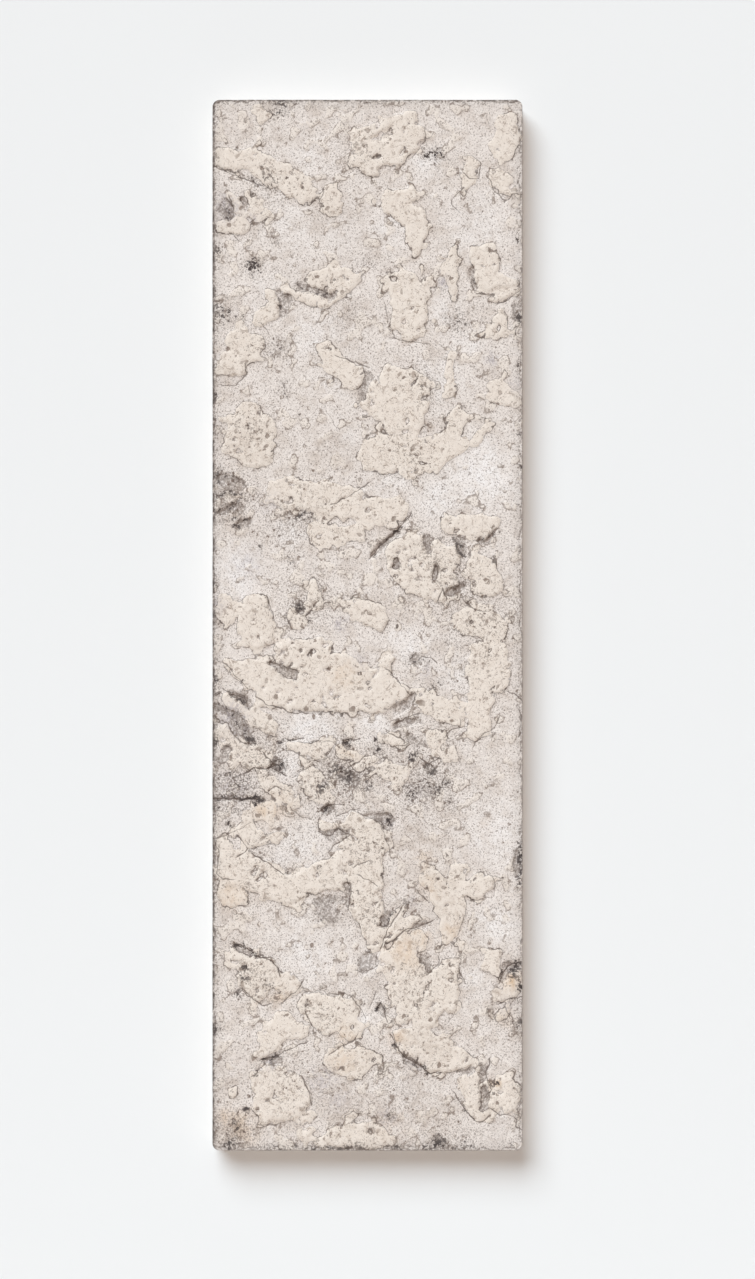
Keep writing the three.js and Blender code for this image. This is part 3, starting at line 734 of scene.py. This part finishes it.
class Graph:
    """Short calls that place and wire the nodes of one material or node group."""

    def __init__(self, tree, place=None):
        self.tree = tree
        self.place = place

    def node(self, kind, settings=None, **inputs):
        made = self.tree.nodes.new("ShaderNode" + kind)
        for name, value in (settings or {}).items():
            setattr(made, name, value)
        for name, value in inputs.items():
            self.feed(made.inputs[name.replace("_", " ")], value)
        return made

    def feed(self, socket, value):
        if isinstance(value, bpy.types.NodeSocket):
            self.tree.links.new(value, socket)
        else:
            socket.default_value = value

    def fed(self, node, inputs, values):
        """The first output of a node, once those inputs have their values."""
        for key, value in zip(inputs, values):
            self.feed(node.inputs[key], value)
        return node.outputs[0]

    def math(self, operation, first, second=0.0, clamp=False):
        made = self.node("Math", {"operation": operation, "use_clamp": clamp})
        return self.fed(made, (0, 1), (first, second))

    def vector(self, operation, first, second):
        """A sum of vectors, or for SCALE the first one times a number."""
        made = self.node("VectorMath", {"operation": operation})
        return self.fed(made, (0, "Scale" if operation == "SCALE" else 1), (first, second))

    def times(self, first, *others):
        for other in others:
            first = self.math("MULTIPLY", first, other)
        return first

    def plus(self, first, *terms):
        """The first value and more, each a value and the share of it that is added."""
        for value, share in terms:
            first = self.math("ADD", first, self.math("MULTIPLY", value, share))
        return first

    def away(self, value, line):
        """How far a value is from a line, on either side."""
        return self.math("ABSOLUTE", self.math("SUBTRACT", value, line))

    def step(self, value, low, high, to_low=0.0, to_high=1.0):
        made = self.node("MapRange", {"interpolation_type": "SMOOTHSTEP"})
        return self.fed(made, range(5), (value, low, high, to_low, to_high))

    def blend(self, share, low, high):
        """From one number to another as the share goes from 0 to 1."""
        return self.step(share, 0.0, 1.0, low, high)

    def mix(self, share, first, second):
        made = self.node("Mix", {"data_type": "RGBA"})
        self.fed(made, (0, 6, 7), (share, first, second))
        return made.outputs[2]

    def noise(self, size, detail=2.0, roughness=0.5, distortion=0.0):
        return self.node("TexNoise", Vector=self.place, Scale=1 / size, Detail=detail,
                         Roughness=roughness, Distortion=distortion).outputs[0]

    def group(self, tree, **inputs):
        return self.node("Group", {"node_tree": tree}, Place=self.place, **inputs).outputs

    def attribute(self, name):
        return self.node("Attribute", {"attribute_name": name}).outputs["Fac"]


def new_group(name, inputs, outputs):
    """A node group that takes a place and those numbers: its graph, its inputs and its outputs."""
    tree = bpy.data.node_groups.new(name, "ShaderNodeTree")
    tree.interface.new_socket("Place", in_out="INPUT", socket_type="NodeSocketVector")
    for label, value in inputs.items():
        socket = tree.interface.new_socket(label, in_out="INPUT", socket_type="NodeSocketFloat")
        socket.default_value = value
    for label in outputs:
        tree.interface.new_socket(label, in_out="OUTPUT", socket_type="NodeSocketFloat")
    given = tree.nodes.new("NodeGroupInput").outputs
    result = tree.nodes.new("NodeGroupOutput").inputs
    return Graph(tree, given["Place"]), given, result


def grain_group():
    """Fired grit: fine pale and grey grains, and the height that they give the surface."""
    g, given, result = new_group("fired_grit", {"Grain Size": 1.0}, ("Grains", "Height"))
    scale = g.math("DIVIDE", 1.0, given["Grain Size"])
    fine = g.node("TexNoise", Vector=g.place, Scale=scale, Detail=3.0, Roughness=0.62)
    coarse = g.node("TexNoise", Vector=g.place, Scale=g.times(scale, 0.42), Detail=2.0)
    both = g.plus(g.times(fine.outputs[0], 0.72), (coarse.outputs[0], 0.28))
    g.feed(result["Grains"], g.step(both, 0.44, 0.58))
    g.feed(result["Height"], both)
    return g.tree


def speck_group():
    """Iron and carbon specks: small torn dark spots that crowd together as the amount rises."""
    g, given, result = new_group("kiln_specks", {"Speck Size": 2.2, "Amount": 0.2}, ("Specks",))
    scale = g.math("DIVIDE", 1.0, given["Speck Size"])
    spots = g.node("TexNoise", Vector=g.place, Scale=scale, Detail=2.5, Roughness=0.55, Distortion=0.6)
    bar = g.blend(given["Amount"], 0.74, 0.44)
    g.feed(result["Specks"], g.step(g.math("SUBTRACT", spots.outputs[0], bar), 0.0, 0.025))
    return g.tree


def pore_group():
    """Gas pores: small torn holes scattered one to a cell, in as large a share of the cells as the amount."""
    g, given, result = new_group("gas_pores", {"Spacing": 5.0, "Amount": 0.3, "Radius": 0.25}, ("Pores",))
    scale = g.math("DIVIDE", 1.0, given["Spacing"])
    bend = g.node("TexNoise", Vector=g.place, Scale=g.times(scale, 2.8), Detail=2.0)
    swing = g.vector("SUBTRACT", bend.outputs["Color"], (0.5, 0.5, 0.5))
    swing = g.vector("SCALE", swing, given["Spacing"])
    cells = g.node("TexVoronoi", Vector=g.vector("ADD", g.place, swing), Scale=scale)
    chance, size, _ = g.node("SeparateColor", Color=cells.outputs["Color"]).outputs
    held = g.step(g.math("SUBTRACT", given["Amount"], chance), 0.0, 0.02)
    reach = g.times(given["Radius"], g.blend(size, 0.45, 1.25), held)
    g.feed(result["Pores"], g.step(g.math("SUBTRACT", reach, cells.outputs["Distance"]), -0.01, 0.06))
    return g.tree


def new_material(name):
    """An empty material, and the graph to fill it."""
    material = bpy.data.materials.new(name)
    material.use_nodes = True
    material.node_tree.nodes.clear()
    return material, Graph(material.node_tree)


def clay_material(name):
    """An empty material whose patterns lie on the piece in millimetres."""
    material, g = new_material(name)
    g.place = g.vector("SCALE", g.node("TexCoord").outputs["Object"], 1 / MM)
    return material, g


def fired_surface(g, colour, roughness, height, strength, distance):
    """The dry fired surface: one shader with its colour, roughness and bump."""
    bump = g.node("Bump", Height=height, Strength=strength, Distance=distance)
    shader = g.node("BsdfPrincipled", Base_Color=colour, Roughness=roughness, Normal=bump.outputs[0],
                    IOR=1.45, Specular_IOR_Level=0.25)
    g.node("OutputMaterial", Surface=shader.outputs[0])


def slip_face(grain, specks, pores):
    """Cream slip flakes over pale gritty ground, with pores, rim cracks, hollows and kiln marks."""
    material, g = clay_material("flaked_slip")
    (cover, scale, hollow, crack, cracked, pit, inset, wear_and_light_offset, char, violet, ochre, umber, bloom,
     speckle) = (g.attribute(name) for name in FIELDS)
    grains, grit_height = g.group(grain, Grain_Size=1.05)
    tear = g.math("SUBTRACT", g.noise(3.2, 3.0, 0.6), 0.5)
    tone = g.noise(30.0, 3.0, 0.55)
    drift = g.noise(7.0, 3.0, 0.6)

    # Ground: pale grit, whiter in the blooms and browner in the washes, with painted shade as a browner band
    # beside the flakes
    edge = g.plus(cover, (tear, 3.0))
    on_flake = g.step(edge, -0.3, 0.4)
    # Painted shade: a browner, more speckled band on the ground beside the flakes, where their lifted edges
    # would shade it
    flake_shade_band = g.times(g.step(edge, -8.0, -0.3), g.step(g.noise(26.0, 3.0, 0.6), 0.40, 0.62))
    ground = g.mix(g.times(bloom, g.step(drift, 0.35, 0.65, 0.45, 1.0)), GROUND_PALE, WHITE_BLOOM)
    wash = g.plus(g.step(tone, 0.44, 0.70, 0.0, 0.34), (flake_shade_band, 0.30))
    wash = g.math("ADD", wash, g.step(g.noise(15.0, 4.0, 0.62), 0.46, 0.70, 0.0, 0.36))
    wash = g.math("MULTIPLY", wash, g.blend(bloom, 1.0, 0.35), clamp=True)
    ground = g.mix(wash, ground, GROUND_BROWN)
    ground = g.mix(g.times(grains, g.blend(bloom, 0.27, 0.17)), ground, GROUND_GREY)

    # Thin scales of slip on the ground, hardly paler than it
    scale_edge = g.plus(scale, (tear, 3.0))
    on_scale = g.step(scale_edge, -0.3, 0.5)
    ground = g.mix(g.times(on_scale, 0.60), ground, CREAM)

    # Flakes: smooth cream, mottled, with torn edges
    cream = g.mix(g.times(g.step(drift, 0.40, 0.68), 0.30), CREAM, CREAM_DEEP)
    cream = g.mix(g.times(grains, 0.12), cream, GROUND_GREY)
    colour = g.mix(on_flake, ground, cream)

    # Curled marks and blots on the flakes, where gas broke through
    curl = g.step(g.away(g.noise(9.0, 1.5, 0.5, 1.2), 0.5), 0.008, 0.024, 1.0, 0.0)
    curl = g.times(curl, g.step(g.noise(8.0, 2.0, 0.6), 0.46, 0.53))
    thread = g.step(g.away(g.noise(6.2, 2.0, 0.5, 2.0), 0.47), 0.006, 0.022, 1.0, 0.0)
    thread = g.times(thread, g.step(g.noise(5.2, 2.0, 0.6), 0.52, 0.58))
    blot = g.step(g.noise(5.6, 2.5, 0.6, 0.9), 0.58, 0.65)
    blot = g.times(blot, g.step(g.noise(17.0, 2.0), 0.38, 0.56))
    broken = g.times(g.math("MAXIMUM", g.math("MAXIMUM", curl, thread), blot),
                     g.blend(on_flake, 0.20, 0.80), g.step(drift, 0.30, 0.60, 0.45, 0.90))
    colour = g.mix(broken, colour, CURL_BROWN)

    # Stains
    fine = g.noise(3.0, 3.0, 0.6)
    for stain, spread, strength, pigment in (
            (ochre, g.step(drift, 0.34, 0.60, 0.35, 1.0), 0.75, OCHRE),
            (umber, g.step(drift, 0.38, 0.62, 0.20, 1.0), 0.70, UMBER),
            (violet, g.step(fine, 0.40, 0.60, 0.10, 1.0), 0.70, VIOLET_GREY)):
        colour = g.mix(g.times(stain, spread, strength), colour, pigment)

    # Hollows are grey and gritty with darker grey patches: the clay's own grey, darkened as painted shade for
    # the recesses
    hollow_edge = g.plus(hollow, (tear, 5.0))
    sunk = g.step(hollow_edge, -1.6, 1.4)
    hollow_grey_and_shade = g.mix(g.step(g.noise(4.6, 3.0, 0.65), 0.46, 0.64), HOLLOW_GREY, HOLLOW_DARK)
    spared = g.step(bloom, 0.15, 0.85, 1.0, 0.25)
    colour = g.mix(g.times(sunk, spared, g.step(drift, 0.36, 0.60, 0.20, 0.75)), colour, hollow_grey_and_shade)

    # Pores, one deep one here and there and small ones all over, dark where the slip is speckled
    pore = g.step(g.plus(pit, (tear, 3.0)), -0.05, 0.45)
    colour = g.mix(g.times(pore, g.step(g.noise(9.0, 2.0), 0.35, 0.65, 0.45, 0.85)), colour, PIT_BROWN)
    share = g.plus(g.blend(on_flake, 0.05, 0.38), (speckle, 0.55), (char, 0.80))
    holes = g.group(pores, Spacing=5.0, Amount=share, Radius=g.plus(0.20, (speckle, 0.12)))[0]
    hole_tint = g.mix(g.math("ADD", speckle, 0.10, clamp=True), PIT_BROWN, SPECK_BROWN)
    hole_tint = g.mix(g.step(char, 0.15, 0.9), hole_tint, CHARCOAL)
    colour = g.mix(g.times(holes, g.step(drift, 0.35, 0.62, 0.68, 1.0)), colour, hole_tint)
    share = g.plus(g.blend(on_flake, 0.54, 0.50), (speckle, 0.22))
    pinholes = g.group(pores, Spacing=3.1, Amount=share, Radius=0.19)[0]
    colour = g.mix(g.times(pinholes, 0.86), colour, SPECK_BROWN)

    # Thin dark lines where the flakes lift off, and the open cracks
    lifted = g.step(g.noise(13.0, 3.0, 0.65), 0.40, 0.66)
    off_rim = g.math("DIVIDE", g.away(edge, -0.35), g.plus(0.26, (lifted, 0.42)))
    rim_line = g.step(off_rim, 0.35, 1.25, 1.0, 0.0)
    colour = g.mix(g.times(rim_line, g.plus(0.42, (lifted, 0.46))), colour, CRACK_DARK)
    scale_rim = g.step(g.away(scale_edge, -0.2), 0.10, 0.60, 1.0, 0.0)
    scale_rim = g.times(scale_rim, g.step(g.noise(10.0, 2.0), 0.42, 0.58), 0.75)
    colour = g.mix(scale_rim, colour, PIT_BROWN)
    crack_width = g.times(g.step(g.noise(8.0, 2.0), 0.3, 0.7, 0.35, 1.05), cracked)
    off_crack = g.away(g.plus(crack, (tear, 1.6)), 0.0)
    off_crack = g.math("DIVIDE", off_crack, g.math("ADD", crack_width, 0.05))
    crack_line = g.step(off_crack, 0.4, 1.2, 1.0, 0.0)
    colour = g.mix(g.times(crack_line, cracked, 0.85), colour, CRACK_DARK)

    # Fine pepper everywhere and thicker in the hollows, and specks thick in the speckled places, on the
    # marks, along the edges, and as painted shade beside the flakes and round the hollows
    amount = g.plus(g.blend(on_flake, 0.54, 0.34), (sunk, 0.25), (speckle, 0.18), (char, 0.14))
    pepper = g.group(specks, Speck_Size=1.6, Amount=amount)[0]
    colour = g.mix(g.times(pepper, 0.56), colour, SPECK_BROWN)
    on_side = g.step(inset, -3.2, -0.5, 1.0, 0.0)
    # Painted light: fewer dark specks and a fainter dark outline at the right and bottom, where the arris is
    # in shade
    edge_marks_by_wear_and_light = g.step(wear_and_light_offset, WEAR_AND_LIGHT_RIGHT, WEAR_AND_LIGHT_TOP, 0.45, 1.0)
    near_rim = g.times(g.plus(g.step(inset, 0.5, 9.0, 1.0, 0.0), (on_side, -0.6)), edge_marks_by_wear_and_light)
    # Painted shade: more dark specks round the rims of the hollows
    hollow_rim_shade = g.step(g.away(hollow_edge, 0.0), 0.4, 2.4, 1.0, 0.0)
    hollow_rim_shade = g.times(hollow_rim_shade, g.step(drift, 0.35, 0.6))
    amount = g.plus(0.20, (speckle, 0.28), (flake_shade_band, 0.16), (char, 0.36), (near_rim, 0.52),
                    (hollow_rim_shade, 0.40))
    dots = g.group(specks, Speck_Size=2.9, Amount=amount)[0]
    dot_share = g.math("ADD", 0.50, g.times(char, 0.4), clamp=True)
    dot_tint = g.mix(g.step(char, 0.1, 0.7), SPECK_BROWN, CHARCOAL)
    colour = g.mix(g.times(dots, dot_share), colour, dot_tint)
    smoke = g.times(g.step(char, 0.05, 1.1, 0.0, 0.22), g.step(drift, 0.32, 0.6, 0.3, 1.0),
                    g.blend(grains, 0.55, 1.0))
    colour = g.mix(smoke, colour, HOLLOW_DARK)

    # The outer edge is grey where the slip has worn off, and past it the side is plain clay
    soot = g.times(g.step(inset, 0.0, 15.0, 0.18, 0.0), g.step(drift, 0.3, 0.6, 0.5, 1.0))
    colour = g.mix(soot, colour, EDGE_GREY)
    # The worn band is moved in or out at each side by the painted light offset
    frayed = g.plus(inset, (wear_and_light_offset, -1.0), (tear, 5.0))
    worn_and_light_band = g.times(g.step(frayed, 0.6, 2.9, 1.0, 0.0), g.step(g.noise(6.5, 4.0, 0.65), 0.40, 0.58, 0.10, 0.9))
    colour = g.mix(worn_and_light_band, colour, EDGE_GREY)
    # A thin dark line along the outline: dirt on the edge, and partly painted shade of the arris
    brink = g.step(g.plus(inset, (tear, 1.6)), 0.4, 1.3, 1.0, 0.0)
    brink = g.times(brink, edge_marks_by_wear_and_light, g.step(g.noise(5.0, 3.0, 0.6), 0.42, 0.60, 0.0, 0.55))
    colour = g.mix(brink, colour, CHARCOAL)
    side = g.mix(g.step(tone, 0.38, 0.64), SIDE_CLAY, BACK_SCORCH)
    side = g.mix(g.times(grains, 0.25), side, EDGE_GREY)
    side = g.mix(g.times(dots, 0.35), side, CHARCOAL)
    colour = g.mix(on_side, colour, side)

    dips = g.math("ADD", g.math("MAXIMUM", pore, holes), g.math("ADD", crack_line, dots))
    height = g.plus(g.times(grit_height, g.blend(on_flake, 1.0, 0.45)), (dips, -0.40),
                    (g.math("ADD", on_flake, on_scale), 0.25))
    fired_surface(g, colour, g.blend(grains, 0.86, 0.97), height, 0.70, 0.6 * MM)
    return material


def bare_back(grain, specks):
    """The flat back: bare fired clay, faintly scorched, without slip."""
    material, g = clay_material("bare_clay_back")
    grains, grit_height = g.group(grain, Grain_Size=1.4)
    scorch = g.step(g.noise(60.0, 6.0, 0.68), 0.42, 0.68)
    colour = g.mix(g.times(scorch, 0.8), BACK_CLAY, BACK_SCORCH)
    colour = g.mix(g.times(grains, 0.28), colour, GROUND_GREY)
    dots = g.group(specks, Speck_Size=2.6, Amount=0.2)[0]
    colour = g.mix(g.times(dots, 0.5), colour, UMBER)
    height = g.plus(grit_height, (g.noise(24.0, 4.0, 0.65), 1.5))
    fired_surface(g, colour, g.blend(grains, 0.85, 0.95), height, 0.5, 0.8 * MM)
    return material


def stage_plane(name, colour, size, place, turn):
    """A big plain sheet, not part of the panel. It is open from behind and lets the back lights through."""
    sheet = bmesh.new()
    bmesh.ops.create_grid(sheet, x_segments=1, y_segments=1, size=size / 2)
    mesh = bpy.data.meshes.new(name)
    sheet.to_mesh(mesh)
    sheet.free()
    plane = placed(name, mesh)
    plane.location = place
    plane.rotation_euler = turn
    material, g = new_material(name)
    behind = g.node("NewGeometry").outputs["Backfacing"]
    to_lamp = g.node("LightPath").outputs["Is Shadow Ray"]
    paint = g.node("BsdfDiffuse", Color=colour).outputs[0]
    clear = g.node("BsdfTransparent").outputs[0]
    either = g.fed(g.node("MixShader"), range(3), (g.math("MAXIMUM", behind, to_lamp), paint, clear))
    g.node("OutputMaterial", Surface=either)
    mesh.materials.append(material)


def soft_sun(name, share, colour, angle, towards):
    """Even light from one side: its share of the light that the face gets, and how wide its source looks."""
    aim = Vector(towards)
    lamp = bpy.data.lights.new(name, "SUN")
    lamp.energy = share * math.pi * aim.length / abs(aim.y)
    lamp.color = colour
    lamp.angle = math.radians(angle)
    light = placed(name, lamp)
    light.location = aim
    light.rotation_euler = (-aim).to_track_quat("-Z", "Y").to_euler()


def studio():
    """Pale backdrop and floor, a broad cool key from the upper left, and warm even fill."""
    stage_plane("backdrop", WALL_WHITE, 7.0, (0, 0.0008, 1.0), (math.pi / 2, 0, 0))
    stage_plane("floor", FLOOR_PALE, 3.0, (0, 0, -2.4), (0, 0, 0))
    soft_sun("key", 0.64, (0.88, 1.00, 1.08), 42, (-0.48, -1.0, 0.94))
    soft_sun("fill", 0.25, (1.20, 1.0, 0.86), 10, (-0.03, -1.0, 0.08))
    soft_sun("back_key", 0.42, (1.0, 1.0, 1.0), 40, (-0.15, 1.0, 0.30))
    soft_sun("back_fill", 0.26, (1.0, 1.0, 1.0), 30, (0.50, 1.0, 0.10))
    world = bpy.data.worlds.new("studio_air")
    world.use_nodes = True
    g = Graph(world.node_tree)
    sky = world.node_tree.nodes["Background"]
    seen = g.node("LightPath").outputs["Is Camera Ray"]
    warm_air = (1.16, 0.99, 0.87, 1.0)
    g.feed(sky.inputs["Color"], g.mix(seen, warm_air, WALL_WHITE))
    g.feed(sky.inputs["Strength"], g.blend(seen, 0.10, 0.96))
    bpy.context.scene.world = world
    bpy.context.scene.view_settings.view_transform = "Standard"


def camera():
    """The photograph's own view: square to the face and far back, with a pixel to about a millimetre."""
    photo_width, photo_height = 755, 1279
    panel_middle_px = (367.4, 625.1)
    panel_height_px = 1052
    lens = 100.0
    sensor = 36.0
    scale = 2 * HALF_HEIGHT * MM / panel_height_px
    view = bpy.data.cameras.new("camera")
    view.sensor_fit = "VERTICAL"
    view.sensor_height = sensor
    view.lens = lens
    eye = placed("camera", view)
    across = (photo_width / 2 - panel_middle_px[0]) * scale
    up = (panel_middle_px[1] - photo_height / 2) * scale
    eye.location = (across, LOW.y * MM - photo_height * scale * lens / sensor, up)
    eye.rotation_euler = (math.pi / 2, 0, 0)
    bpy.context.scene.camera = eye


panel = build_panel()
grit_nodes = grain_group()
speck_nodes = speck_group()
panel.data.materials.append(slip_face(grit_nodes, speck_nodes, pore_group()))
panel.data.materials.append(bare_back(grit_nodes, speck_nodes))
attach(panel, "root")
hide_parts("panel")
studio()
camera()
